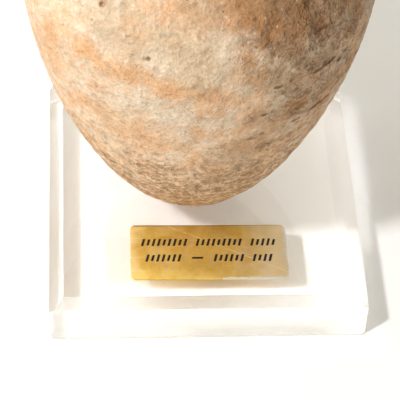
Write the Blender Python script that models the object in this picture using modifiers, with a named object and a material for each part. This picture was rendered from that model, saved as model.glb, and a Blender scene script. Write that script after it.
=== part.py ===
"""Terracotta vessel on a clear acrylic stand with a small metal plate.

The pot is an ovoid on a small worn foot, with a plain neck and a round lip, hollow
and empty. It stands glued on the flat top of a clear block, and a thin plate with rows
of shallow strokes is glued to the block in front of it.

Metres, +Z up, the plate's side toward -Y. The origin is the middle of the
block's underside. All heights of the pot are measured up from the point where the
curve of its body would end, were its foot not worn off.
"""

import math

import bmesh
import bpy
from mathutils import Matrix, Vector

# The body of the pot. Its foot is worn flat at the cut and rounded up to the body
BELLY_RADIUS = 0.0534
BELLY_HEIGHT = 0.096
BODY_BEND = 1.483
BODY_FULLNESS = 0.537
FOOT_CUT = 0.0046
FOOT_FLAT = 0.006
FOOT_ROUND = 0.0108
WALL = 0.005
FOOT_THICKNESS = 0.0045

# Its shoulder, neck and lip, each rise measured from the end of the one below
SHOULDER_RISE = 0.05
NECK_RADIUS = 0.019
NECK_RISE = 0.016
LIP_RADIUS = 0.026
LIP_RISE = 0.009
LIP_FLARE = math.radians(45.0)

# The clear block
BLOCK_WIDTH = 0.1016
BLOCK_DEPTH = 0.1016
BLOCK_HEIGHT = 0.0175
FRONT_CHAMFER = 0.0031
SIDE_CHAMFER = 0.0047
BLOCK_CORNER_RADIUS = 0.0016
BLOCK_FOOT_BEVEL = 0.0004

# Where the pot stands, a little left of and behind the block's middle
POT_X = -0.0043
POT_Y = 0.0045
GLUE_FILM = 0.0003

# The plate, glued slightly askew near the front edge
PLATE_WIDTH = 0.0503
PLATE_DEPTH = 0.0227
PLATE_THICKNESS = 0.0008
PLATE_CORNER_RADIUS = 0.0019
PLATE_FROM_FRONT = 0.009
PLATE_X = 0.0005
PLATE_TURN = math.radians(-0.5)

# The rows of strokes cut in the plate: the strokes of each group, and 0 for a level dash
STROKE_ROWS = ((9, 9, 5), (7, 0, 6, 4))
STROKE_HEIGHT = 0.003
STROKE_SHORT = 0.002
STROKE_EVERY = 3
STROKE_WIDTH = 0.00055
STROKE_DEPTH = 0.0002
STROKE_PITCH = 0.0017
STROKE_GROUP_GAP = 0.0023
STROKE_SLANT = math.radians(14.0)
DASH_LENGTH = 0.0036
ROW_PITCH = 0.0066
ROW_LIFT = 0.0006

# Facets
TURN_STEPS = 52
BODY_SPANS = 14
FOOT_SPANS = 5
INNER_SPANS = 13
BEND_SPANS = 7
LIP_SPANS = 5
CORNER_SPANS = 4
MERGE_DISTANCE = 0.00005


def make_collection(name):
    """A new collection under the scene's own."""
    group = bpy.data.collections.new(name)
    bpy.context.scene.collection.children.link(group)
    return group


def make_material(name, colour, roughness, metallic=0.0, transmission=0.0, ior=1.5):
    """A Principled material with the piece's plain look."""
    material = bpy.data.materials.new(name)
    material.use_nodes = True
    shader = material.node_tree.nodes["Principled BSDF"]
    shader.inputs["Base Color"].default_value = (*colour, 1.0)
    shader.inputs["Roughness"].default_value = roughness
    shader.inputs["Metallic"].default_value = metallic
    shader.inputs["Transmission Weight"].default_value = transmission
    shader.inputs["IOR"].default_value = ior
    material.diffuse_color = (*colour, 1.0)
    return material


def add_object(name, mesh, group, material=None):
    """An object for a mesh, in the given collection."""
    item = bpy.data.objects.new(name, mesh)
    group.objects.link(item)
    if material is not None:
        mesh.materials.append(material)
    return item


def as_cutter(item):
    """Marks an object as a tool that is not a piece."""
    item.hide_render = True
    item.display_type = "WIRE"


def bezier(start, start_hold, end_hold, end, spans):
    """Points after the first on a cubic curve, as (radius, height) pairs."""
    points = []
    for i in range(1, spans + 1):
        t = i / spans
        weights = ((1 - t) ** 3, 3 * t * (1 - t) ** 2, 3 * t * t * (1 - t), t ** 3)
        held = (start, start_hold, end_hold, end)
        points.append(tuple(sum(w * p[axis] for w, p in zip(weights, held)) for axis in (0, 1)))
    return points


def egg_width(share):
    """How wide the lower body is at a share of its height, as a share of its widest."""
    return (1.0 - (1.0 - share) ** BODY_BEND) ** BODY_FULLNESS


def egg(widest, height, lift, spans, start=0.0):
    """The lower body's curve up to its widest place, from a share of its height."""
    first = math.acos(1.0 - start)
    points = []
    for i in range(spans + 1):
        share = min(1.0, 1.0 - math.cos(first + (math.pi / 2 - first) * i / spans))
        points.append((widest * egg_width(share), lift + height * share))
    return points


def lower_curve():
    """The outside from the middle of the foot up to the widest place."""
    start = FOOT_ROUND / BELLY_HEIGHT
    body = egg(BELLY_RADIUS, BELLY_HEIGHT, 0.0, BODY_SPANS, start)
    step = 0.001
    spread = BELLY_RADIUS * (egg_width(start + step) - egg_width(start)) / (BELLY_HEIGHT * step)
    low = Vector((FOOT_FLAT, FOOT_CUT))
    end = Vector(body[0])
    hold = Vector((end.x - spread * (FOOT_ROUND - FOOT_CUT), FOOT_CUT))
    foot = bezier(low, low.lerp(hold, 2 / 3), end.lerp(hold, 2 / 3), end, FOOT_SPANS)
    return [(0.0, FOOT_CUT), tuple(low)] + foot + body[1:]


def inset(points, distance):
    """The points moved square to their curve, to the left of its direction."""
    moved = []
    for i, (radius, height) in enumerate(points):
        before = points[max(i - 1, 0)]
        after = points[min(i + 1, len(points) - 1)]
        along = Vector((after[0] - before[0], after[1] - before[1])).normalized()
        moved.append((radius - along.y * distance, height + along.x * distance))
    return moved


def upper_curve():
    """Shoulder, neck and flare, from the widest place up to the lip."""
    neck_height = BELLY_HEIGHT + SHOULDER_RISE
    flare_height = neck_height + NECK_RISE
    lip_height = flare_height + LIP_RISE
    belly = (BELLY_RADIUS, BELLY_HEIGHT)
    root = (NECK_RADIUS, neck_height)
    top = (NECK_RADIUS, flare_height)
    end = (LIP_RADIUS, lip_height)
    shoulder = bezier(belly, (BELLY_RADIUS, BELLY_HEIGHT + 0.62 * SHOULDER_RISE),
                      (NECK_RADIUS, neck_height - 0.24 * SHOULDER_RISE), root, BEND_SPANS + 3)
    neck = [(NECK_RADIUS, neck_height + NECK_RISE * i / 2) for i in (1, 2)]
    hold = LIP_RISE / 2
    flare = bezier(top, (NECK_RADIUS, flare_height + hold),
                   (LIP_RADIUS - hold * math.sin(LIP_FLARE), lip_height - hold * math.cos(LIP_FLARE)),
                   end, BEND_SPANS - 2)
    return [belly] + shoulder + neck + flare


def pot_profile():
    """The pot's whole section, from its foot up outside, over the lip and down inside."""
    outside = lower_curve()
    upper = upper_curve()
    upper_inside = inset(upper, WALL)
    outer_end = Vector(upper[-1])
    inner_end = Vector(upper_inside[-1])
    middle = (outer_end + inner_end) / 2
    across = outer_end - middle
    onward = Vector((-across.y, across.x))
    lip = []
    for i in range(1, LIP_SPANS):
        angle = math.pi * i / LIP_SPANS
        lip.append(tuple(middle + across * math.cos(angle) + onward * math.sin(angle)))
    floor = FOOT_CUT + FOOT_THICKNESS
    inside = egg(BELLY_RADIUS - WALL, BELLY_HEIGHT - floor, floor, INNER_SPANS)
    return outside + upper[1:] + lip + upper_inside[:0:-1] + inside[::-1]


def turned(name, profile, group, material):
    """A closed solid turned from a section that starts and ends on the axis."""
    mesh = bpy.data.meshes.new(name)
    downward = profile[::-1]
    edges = [(i, i + 1) for i in range(len(downward) - 1)]
    mesh.from_pydata([(radius, 0.0, height) for radius, height in downward], edges, [])
    item = add_object(name, mesh, group, material)
    screw = item.modifiers.new("Turn", "SCREW")
    screw.axis = "Z"
    screw.steps = TURN_STEPS
    screw.render_steps = TURN_STEPS
    screw.use_merge_vertices = True
    screw.merge_threshold = MERGE_DISTANCE
    screw.use_smooth_shade = True
    return item


def build_pot(group):
    """The hollow pot, standing on its film of glue."""
    clay = make_material("terracotta", (0.62, 0.42, 0.27), 0.9)
    pot = turned("vessel", pot_profile(), group, clay)
    pot.location = (POT_X, POT_Y, BLOCK_HEIGHT + GLUE_FILM - FOOT_CUT)
    return pot


def edges_where(shape, test):
    """The edges of a bmesh whose two ends both pass a test on their position."""
    return [edge for edge in shape.edges if all(test(vert.co) for vert in edge.verts)]


def shave(shape, place, normal):
    """Cuts off what lies beyond a plane and closes the cut."""
    everything = shape.verts[:] + shape.edges[:] + shape.faces[:]
    cut = bmesh.ops.bisect_plane(shape, geom=everything, dist=MERGE_DISTANCE / 10, plane_co=place,
                                 plane_no=normal, clear_outer=True)
    rim = [part for part in cut["geom_cut"] if isinstance(part, bmesh.types.BMEdge)]
    bmesh.ops.holes_fill(shape, edges=rim, sides=0)


def build_block(group):
    """The clear block with its chamfers and soft corners."""
    shape = bmesh.new()
    size = Matrix.Diagonal((BLOCK_WIDTH, BLOCK_DEPTH, BLOCK_HEIGHT, 1.0))
    lift = Matrix.Translation((0.0, 0.0, BLOCK_HEIGHT / 2))
    bmesh.ops.create_cube(shape, size=1.0, matrix=lift @ size)
    tiny = MERGE_DISTANCE
    upright = [edge for edge in shape.edges
               if abs(edge.verts[0].co.z - edge.verts[1].co.z) > BLOCK_HEIGHT / 2]
    bmesh.ops.bevel(shape, geom=upright, offset=BLOCK_CORNER_RADIUS, segments=CORNER_SPANS,
                    profile=0.5, affect="EDGES")
    for way in (-1, 1):
        side = (way * BLOCK_WIDTH / 2, 0.0, BLOCK_HEIGHT - SIDE_CHAMFER)
        end = (0.0, way * BLOCK_DEPTH / 2, BLOCK_HEIGHT - FRONT_CHAMFER)
        shave(shape, side, (way, 0.0, 1.0))
        shave(shape, end, (0.0, way, 1.0))
    foot = edges_where(shape, lambda co: co.z < tiny)
    bmesh.ops.bevel(shape, geom=foot, offset=BLOCK_FOOT_BEVEL, segments=1, affect="EDGES")
    bmesh.ops.recalc_face_normals(shape, faces=shape.faces)
    mesh = bpy.data.meshes.new("stand_block")
    shape.to_mesh(mesh)
    shape.free()
    acrylic = make_material("clear_acrylic", (0.98, 0.985, 0.98), 0.03, transmission=1.0, ior=1.49)
    return add_object("stand_block", mesh, group, acrylic)


def row_marks(groups):
    """The marks of one row as (place, width, height), centred on nought."""
    marks = []
    end = 0.0
    start = 0.0
    for count in groups:
        if count == 0:
            end = start + DASH_LENGTH
            marks.append(((start + end) / 2, DASH_LENGTH, STROKE_WIDTH))
        for i in range(count):
            end = start + i * STROKE_PITCH
            tall = STROKE_SHORT if i % STROKE_EVERY == 1 else STROKE_HEIGHT
            marks.append((end, STROKE_WIDTH, tall))
        start = end + STROKE_PITCH + STROKE_GROUP_GAP
    return [(place - end / 2, width, tall) for place, width, tall in marks]


def build_stroke_cutter(cutters):
    """All the slanted strokes, as one object of separate bars."""
    shape = bmesh.new()
    lean = Matrix.Identity(4)
    lean[0][1] = math.tan(STROKE_SLANT)
    for row, groups in enumerate(STROKE_ROWS):
        y = ROW_LIFT + ROW_PITCH * ((len(STROKE_ROWS) - 1) / 2 - row)
        for x, width, tall in row_marks(groups):
            size = Matrix.Diagonal((width, tall, 2 * STROKE_DEPTH, 1.0))
            place = Matrix.Translation((x, y, PLATE_THICKNESS))
            bmesh.ops.create_cube(shape, size=1.0, matrix=place @ lean @ size)
    bmesh.ops.recalc_face_normals(shape, faces=shape.faces)
    mesh = bpy.data.meshes.new("stroke_cutter")
    shape.to_mesh(mesh)
    shape.free()
    cutter = add_object("stroke_cutter", mesh, cutters)
    as_cutter(cutter)
    return cutter


def build_plate(group, cutters):
    """The thin plate with its round corners and rows of shallow strokes."""
    shape = bmesh.new()
    size = Matrix.Diagonal((PLATE_WIDTH, PLATE_DEPTH, PLATE_THICKNESS, 1.0))
    lift = Matrix.Translation((0.0, 0.0, PLATE_THICKNESS / 2))
    bmesh.ops.create_cube(shape, size=1.0, matrix=lift @ size)
    upright = [edge for edge in shape.edges
               if abs(edge.verts[0].co.z - edge.verts[1].co.z) > PLATE_THICKNESS / 2]
    bmesh.ops.bevel(shape, geom=upright, offset=PLATE_CORNER_RADIUS, segments=CORNER_SPANS + 1,
                    profile=0.5, affect="EDGES")
    bmesh.ops.recalc_face_normals(shape, faces=shape.faces)
    mesh = bpy.data.meshes.new("name_plate")
    shape.to_mesh(mesh)
    shape.free()
    metal = make_material("gilt_metal", (0.76, 0.56, 0.2), 0.35, metallic=1.0)
    plate = add_object("name_plate", mesh, group, metal)
    front = -BLOCK_DEPTH / 2 + PLATE_FROM_FRONT
    plate.location = (PLATE_X, front + PLATE_DEPTH / 2, BLOCK_HEIGHT + GLUE_FILM)
    plate.rotation_euler = (0.0, 0.0, PLATE_TURN)

    strokes = build_stroke_cutter(cutters)
    strokes.location = plate.location
    strokes.rotation_euler = plate.rotation_euler
    cut = plate.modifiers.new("Strokes", "BOOLEAN")
    cut.operation = "DIFFERENCE"
    cut.solver = "EXACT"
    cut.object = strokes
    return plate


def main():
    """Clears the scene and builds the three pieces."""
    for item in list(bpy.data.objects):
        bpy.data.objects.remove(item, do_unlink=True)
    pieces = make_collection("vessel_on_stand")
    cutters = make_collection("cutters")
    build_pot(pieces)
    build_block(pieces)
    build_plate(pieces, cutters)
    bpy.context.view_layer.update()


main()
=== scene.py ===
"""Looks of the terracotta vessel, its clear acrylic stand and the small gilt plate.

The pot is turned from its section and weathered by Geometry Nodes. The block is cut and
polished as a solid with small rounds on its edges, and the plate carries rows of inked
strokes. Metres, +Z up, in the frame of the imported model, with the plate's side toward -Y.
Heights of the pot are measured up from the point where the curve of its body would end,
were its foot not worn off.
"""

import logging
import math
from collections.abc import Callable, Mapping, Sequence
from dataclasses import dataclass, field
from enum import Enum
from functools import partial, reduce

import bmesh
import bpy
from mathutils import Matrix, Vector


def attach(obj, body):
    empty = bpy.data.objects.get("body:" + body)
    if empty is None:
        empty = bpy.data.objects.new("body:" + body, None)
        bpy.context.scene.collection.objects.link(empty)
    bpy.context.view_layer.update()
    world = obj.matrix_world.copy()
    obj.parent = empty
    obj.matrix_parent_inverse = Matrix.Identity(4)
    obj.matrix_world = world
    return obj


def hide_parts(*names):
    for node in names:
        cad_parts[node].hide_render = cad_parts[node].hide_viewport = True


log = logging.getLogger("vessel_on_stand")

MM = 0.001
PER_METRE = 1000.0
TINY = 0.000001
HALF = (0.5, 0.5, 0.5)
SHARP_ANGLE = math.radians(24.0)

Socket = bpy.types.NodeSocket
Tone = tuple[float, float, float, float]
Span = tuple[float, float]
Feed = float | int | bool | str | Sequence[float] | bpy.types.ID | Socket

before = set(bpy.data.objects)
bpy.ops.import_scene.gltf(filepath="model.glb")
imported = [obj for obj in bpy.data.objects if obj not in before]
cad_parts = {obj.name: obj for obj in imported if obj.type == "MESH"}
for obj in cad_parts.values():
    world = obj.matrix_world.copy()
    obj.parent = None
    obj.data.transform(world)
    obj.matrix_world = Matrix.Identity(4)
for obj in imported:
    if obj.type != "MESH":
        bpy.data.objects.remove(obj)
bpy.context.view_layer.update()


class Body(Enum):
    """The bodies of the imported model."""

    ROOT = "root"


class Part(Enum):
    """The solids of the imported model."""

    VESSEL = "vessel"
    BLOCK = "stand_block"
    PLATE = "name_plate"


class Slot(Enum):
    """The finishes that the record names."""

    TERRACOTTA = "terracotta"
    CLEAR_ACRYLIC = "clear_acrylic"
    GILT_METAL = "gilt_metal"


def tone(red: int, green: int, blue: int) -> Tone:
    """A colour as light, by the usual curve of a screen.

    Args:
        red: Its red on the screen, from 0 to 255.
        green: Its green.
        blue: Its blue.

    Returns:
        The colour, opaque.
    """
    shares = [value / 255 for value in (red, green, blue)]
    light = [s / 12.92 if s <= 0.04045 else ((s + 0.055) / 1.055) ** 2.4 for s in shares]
    return (light[0], light[1], light[2], 1.0)


class Graph:
    """A node tree while it is wired, for a material, a shader group or geometry."""

    def __init__(self, tree: bpy.types.NodeTree) -> None:
        """Takes the tree to wire."""
        self.tree = tree

    def feed(self, socket: Socket, value: Feed) -> None:
        """Links a socket to another one, or sets its plain value.

        Args:
            socket: The input.
            value: The other socket, or the value.
        """
        if isinstance(value, Socket):
            self.tree.links.new(value, socket)
        else:
            socket.default_value = value

    def add(self, kind: str, feeds: Mapping[str | int, Feed] | None = None,
            **settings: object) -> bpy.types.Node:
        """Adds a node.

        Args:
            kind: The node's type.
            feeds: What its inputs take, by name or by place.
            settings: Its options, which are set first.

        Returns:
            The node.
        """
        node = self.tree.nodes.new(kind)
        for name, value in settings.items():
            setattr(node, name, value)
        for name, value in (feeds or {}).items():
            self.feed(node.inputs[name], value)
        return node

    def number(self, operation: str, *values: Feed) -> Socket:
        """The result of one operation on plain numbers."""
        return self.add("ShaderNodeMath", dict(enumerate(values)), operation=operation).outputs[0]

    def plus(self, *values: Feed) -> Socket:
        """The sum of some numbers."""
        return reduce(partial(self.number, "ADD"), values)

    def minus(self, value: Feed, less: Feed) -> Socket:
        """One number less another."""
        return self.number("SUBTRACT", value, less)

    def times(self, *values: Feed) -> Socket:
        """The product of some numbers."""
        return reduce(partial(self.number, "MULTIPLY"), values)

    def largest(self, *values: Feed) -> Socket:
        """The largest of some numbers."""
        return reduce(partial(self.number, "MAXIMUM"), values)

    def vector(self, operation: str, *values: Feed) -> Socket:
        """The vector that one operation on vectors gives."""
        return self.add("ShaderNodeVectorMath", dict(enumerate(values)), operation=operation).outputs[0]

    def measure(self, operation: str, *values: Feed) -> Socket:
        """The number that one operation on vectors gives."""
        return self.add("ShaderNodeVectorMath", dict(enumerate(values)), operation=operation).outputs["Value"]

    def scaled(self, value: Feed, factor: Feed) -> Socket:
        """A vector times a number."""
        return self.add("ShaderNodeVectorMath", {0: value, "Scale": factor}, operation="SCALE").outputs[0]

    def xyz(self, x: Feed = 0.0, y: Feed = 0.0, z: Feed = 0.0) -> Socket:
        """A vector from its three numbers."""
        return self.add("ShaderNodeCombineXYZ", {"X": x, "Y": y, "Z": z}).outputs[0]

    def split(self, value: Feed) -> Sequence[Socket]:
        """The three numbers of a vector or colour."""
        return self.add("ShaderNodeSeparateXYZ", {0: value}).outputs

    def turned(self, point: Feed, angle: Feed) -> Socket:
        """A point turned about the upright axis."""
        feeds = {"Vector": point, "Angle": angle}
        return self.add("ShaderNodeVectorRotate", feeds, rotation_type="Z_AXIS").outputs[0]

    def remap(self, value: Feed, low: Feed, high: Feed, to_low: Feed = 0.0,
              to_high: Feed = 1.0) -> Socket:
        """A number moved from one span to another along a smooth step, and held inside it."""
        feeds = {"Value": value, "From Min": low, "From Max": high, "To Min": to_low, "To Max": to_high}
        return self.add("ShaderNodeMapRange", feeds, interpolation_type="SMOOTHSTEP").outputs["Result"]

    def between(self, share: Feed, ends: Span) -> Socket:
        """A number that goes smoothly from one end to the other as a share goes from 0 to 1."""
        return self.remap(share, 0.0, 1.0, *ends)

    def blend(self, share: Feed, under: Feed, over: Feed, way: str = "MIX") -> Socket:
        """Two colours laid over each other by a share."""
        feeds = {0: share, 6: under, 7: over}
        return self.add("ShaderNodeMix", feeds, data_type="RGBA", blend_type=way).outputs[2]

    def rate(self, size: Feed) -> Feed:
        """How many lumps of a size go into a millimetre."""
        return self.number("DIVIDE", 1.0, size) if isinstance(size, Socket) else 1.0 / size

    def noise(self, point: Feed, size: Feed, detail: float = 2.0, roughness: Feed = 0.5,
              output: str = "Fac") -> Socket:
        """Soft random relief, from 0 to 1 round a half, for a point in millimetres.

        Args:
            point: Where it is read.
            size: About how far apart its lumps are, in millimetres.
            detail: How many finer layers it has.
            roughness: How strong each finer layer is beside the last.
            output: Fac for a number, or Color for three at once.

        Returns:
            The value.
        """
        feeds = {"Vector": point, "Scale": self.rate(size), "Detail": detail, "Roughness": roughness}
        return self.add("ShaderNodeTexNoise", feeds).outputs[output]

    def wander(self, point: Feed, size: float, detail: float, reach: float) -> Socket:
        """How far noise moves a point.

        Args:
            point: The point in millimetres.
            size: About how far apart the noise's lumps are.
            detail: How many finer layers it has.
            reach: How far apart two points can be moved along one direction.

        Returns:
            The move, as a vector in millimetres.
        """
        cloud = self.noise(point, size, detail, output="Color")
        return self.scaled(self.vector("SUBTRACT", cloud, HALF), reach)

    def cells(self, point: Feed, size: Feed) -> tuple[Socket, Sequence[Socket]]:
        """Random cells.

        Args:
            point: Where they are read, in millimetres.
            size: About how far apart they are.

        Returns:
            How far off the cell's middle is, as a share of the size, and three random numbers of the cell.
        """
        node = self.add("ShaderNodeTexVoronoi", {"Vector": point, "Scale": self.rate(size)})
        return node.outputs["Distance"], self.split(node.outputs["Color"])

    def bumped(self, height: Feed, strength: float) -> Socket:
        """A normal bent by a relief in millimetres."""
        feeds = {"Strength": strength, "Distance": MM, "Height": height}
        return self.add("ShaderNodeBump", feeds).outputs[0]

    def reshaped(self, kind: str, geometry: Socket, feeds: Mapping[str, Feed] | None = None,
                 **settings: object) -> Socket:
        """Geometry passed through a node, whose other inputs take what feeds says."""
        return self.add(kind, {"Geometry": geometry, **(feeds or {})}, **settings).outputs[0]


class PortKind(Enum):
    """What a port of a node tree carries."""

    NUMBER = "NodeSocketFloat"
    COUNT = "NodeSocketInt"
    VECTOR = "NodeSocketVector"
    GEOMETRY = "NodeSocketGeometry"
    MATERIAL = "NodeSocketMaterial"


@dataclass(frozen=True)
class Port:
    """A named input or output of a node tree."""

    name: str
    kind: PortKind = PortKind.NUMBER
    value: object = None

    def declare(self, tree: bpy.types.NodeTree, way: str) -> None:
        """Puts the port on a tree's interface.

        Args:
            tree: The tree.
            way: INPUT or OUTPUT.
        """
        item = tree.interface.new_socket(name=self.name, in_out=way, socket_type=self.kind.value)
        if self.value is not None:
            item.default_value = self.value


def new_tree(name: str, kind: str, takes: Sequence[Port],
             gives: Port) -> tuple[Graph, Mapping[str, Socket], Socket]:
    """An empty node group with its ports.

    Args:
        name: The tree's name.
        kind: The tree's type.
        takes: Its inputs.
        gives: Its output.

    Returns:
        The graph, the inputs by name and the socket that takes the output.
    """
    tree = bpy.data.node_groups.new(name, kind)
    for port in takes:
        port.declare(tree, "INPUT")
    gives.declare(tree, "OUTPUT")
    graph = Graph(tree)
    taken = graph.add("NodeGroupInput").outputs
    return graph, taken, graph.add("NodeGroupOutput").inputs[gives.name]


def mottle_group() -> bpy.types.NodeTree:
    """A shader group that gives patches with ragged edges, for a point in millimetres.

    Returns:
        The group's tree.
    """
    takes = [Port("Point", PortKind.VECTOR), Port("Size", value=10.0), Port("Cover", value=0.5),
             Port("Edge", value=0.08), Port("Ragged", value=0.6)]
    graph, taken, mask = new_tree("mottle", "ShaderNodeTree", takes, Port("Mask"))
    bare_to_covered = (0.72, 0.28)
    cloud = graph.noise(taken["Point"], taken["Size"], 5.0, taken["Ragged"])
    middle = graph.between(taken["Cover"], bare_to_covered)
    low = graph.minus(middle, taken["Edge"])
    high = graph.plus(middle, taken["Edge"])
    graph.feed(mask, graph.remap(cloud, low, high))
    return graph.tree


def hairline_group() -> bpy.types.NodeTree:
    """A shader group that gives thin straight scratches along one direction, in the plane.

    Returns:
        The group's tree.
    """
    takes = [Port("Point", PortKind.VECTOR), Port("Turn"), Port("Length", value=12.0),
             Port("Pitch", value=0.5), Port("Share", value=0.2)]
    graph, taken, mask = new_tree("hairlines", "ShaderNodeTree", takes, Port("Mask"))
    none_to_all = (0.78, 0.4)
    softness = 0.06
    squeeze = graph.xyz(graph.rate(taken["Length"]), graph.rate(taken["Pitch"]))
    place = graph.vector("MULTIPLY", graph.turned(taken["Point"], taken["Turn"]), squeeze)
    low = graph.between(taken["Share"], none_to_all)
    graph.feed(mask, graph.remap(graph.noise(place, 1.0), low, graph.plus(low, softness)))
    return graph.tree


@dataclass(frozen=True)
class SharedEffects:
    """The shader groups that the finishes place in their materials."""

    mottle: bpy.types.NodeTree
    hairlines: bpy.types.NodeTree

    def patches(self, graph: Graph, point: Socket, size: float, cover: Feed, edge: float,
                ragged: float = 0.65) -> Socket:
        """A mask of ragged patches, their size in millimetres and the rest as shares."""
        feeds = {"Point": point, "Size": size, "Cover": cover, "Edge": edge, "Ragged": ragged}
        return graph.add("ShaderNodeGroup", feeds, node_tree=self.mottle).outputs["Mask"]

    def scratches(self, graph: Graph, point: Socket, turn: float, length: float, pitch: float,
                  share: float) -> Socket:
        """A mask of straight scratches, turned by degrees, with sizes in millimetres."""
        feeds = {"Point": point, "Turn": math.radians(turn), "Length": length, "Pitch": pitch, "Share": share}
        return graph.add("ShaderNodeGroup", feeds, node_tree=self.hairlines).outputs["Mask"]


def new_material(name: str, look: Tone,
                 values: Mapping[str, Feed]) -> tuple[bpy.types.Material, Graph, Mapping[str, Socket]]:
    """A material with one Principled shader.

    Args:
        name: Its name.
        look: Its colour in plain views.
        values: The shader's plain values, by name.

    Returns:
        The material, its graph and the shader's inputs.
    """
    material = bpy.data.materials.new(name)
    material.use_nodes = True
    material.diffuse_color = look
    graph = Graph(material.node_tree)
    inputs = material.node_tree.nodes["Principled BSDF"].inputs
    for key, value in values.items():
        graph.feed(inputs[key], value)
    return material, graph, inputs


def millimetres(graph: Graph, centre: Vector) -> Socket:
    """The object's own coordinates in millimetres, counted from a centre."""
    place = graph.add("ShaderNodeTexCoord").outputs["Object"]
    return graph.scaled(graph.vector("SUBTRACT", place, tuple(centre)), PER_METRE)


@dataclass(frozen=True)
class ColourPatch:
    """A soft-edged patch on the pot, where the clay has another colour.

    turn is in degrees round the pot's axis, and height, width and rise in millimetres.
    raggedness says how far noise moves the edge, and edge where it starts and ends, both as
    shares of half the patch.
    """

    turn: float
    height: float
    width: float
    rise: float
    colour: Tone
    strength: float = 0.7
    raggedness: float = 1.8
    edge: Span = (0.35, 1.25)

    def mask(self, graph: Graph, point: Socket, ragged: Socket, radius: float) -> Socket:
        """How much of the patch shows at a point.

        Args:
            graph: The material's graph.
            point: The point in millimetres from the pot's tip.
            ragged: Noise that breaks up the edge.
            radius: The pot's radius there in millimetres.

        Returns:
            The mask.
        """
        angle = math.radians(self.turn)
        centre = (radius * math.cos(angle), radius * math.sin(angle), self.height)
        spread = (self.width / 2, self.width / 2, self.rise / 2)
        away = graph.vector("DIVIDE", graph.vector("SUBTRACT", point, centre), spread)
        broken = graph.plus(graph.measure("LENGTH", away),
                            graph.times(graph.minus(ragged, 0.5), self.raggedness))
        return graph.remap(broken, *self.edge, self.strength, 0.0)


@dataclass(frozen=True)
class Patches:
    """One layer of ragged patches, its size in millimetres and the rest as shares."""

    colour: Tone
    size: float
    cover: float
    edge: float
    ragged: float
    strength: float


@dataclass(frozen=True)
class Skin:
    """What the clay is like at a point, as sockets that its colour and its relief both read.

    The first three are noise, from fine to coarse. crumb is how far off a crumb's middle is,
    hollow and cracks are masks, and the last two say how worn the clay is.
    """

    grain: Socket
    ripples: Socket
    knobs: Socket
    crumb: Socket
    hollow: Socket
    cracks: Socket
    low_down: Socket
    worn: Socket


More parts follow.
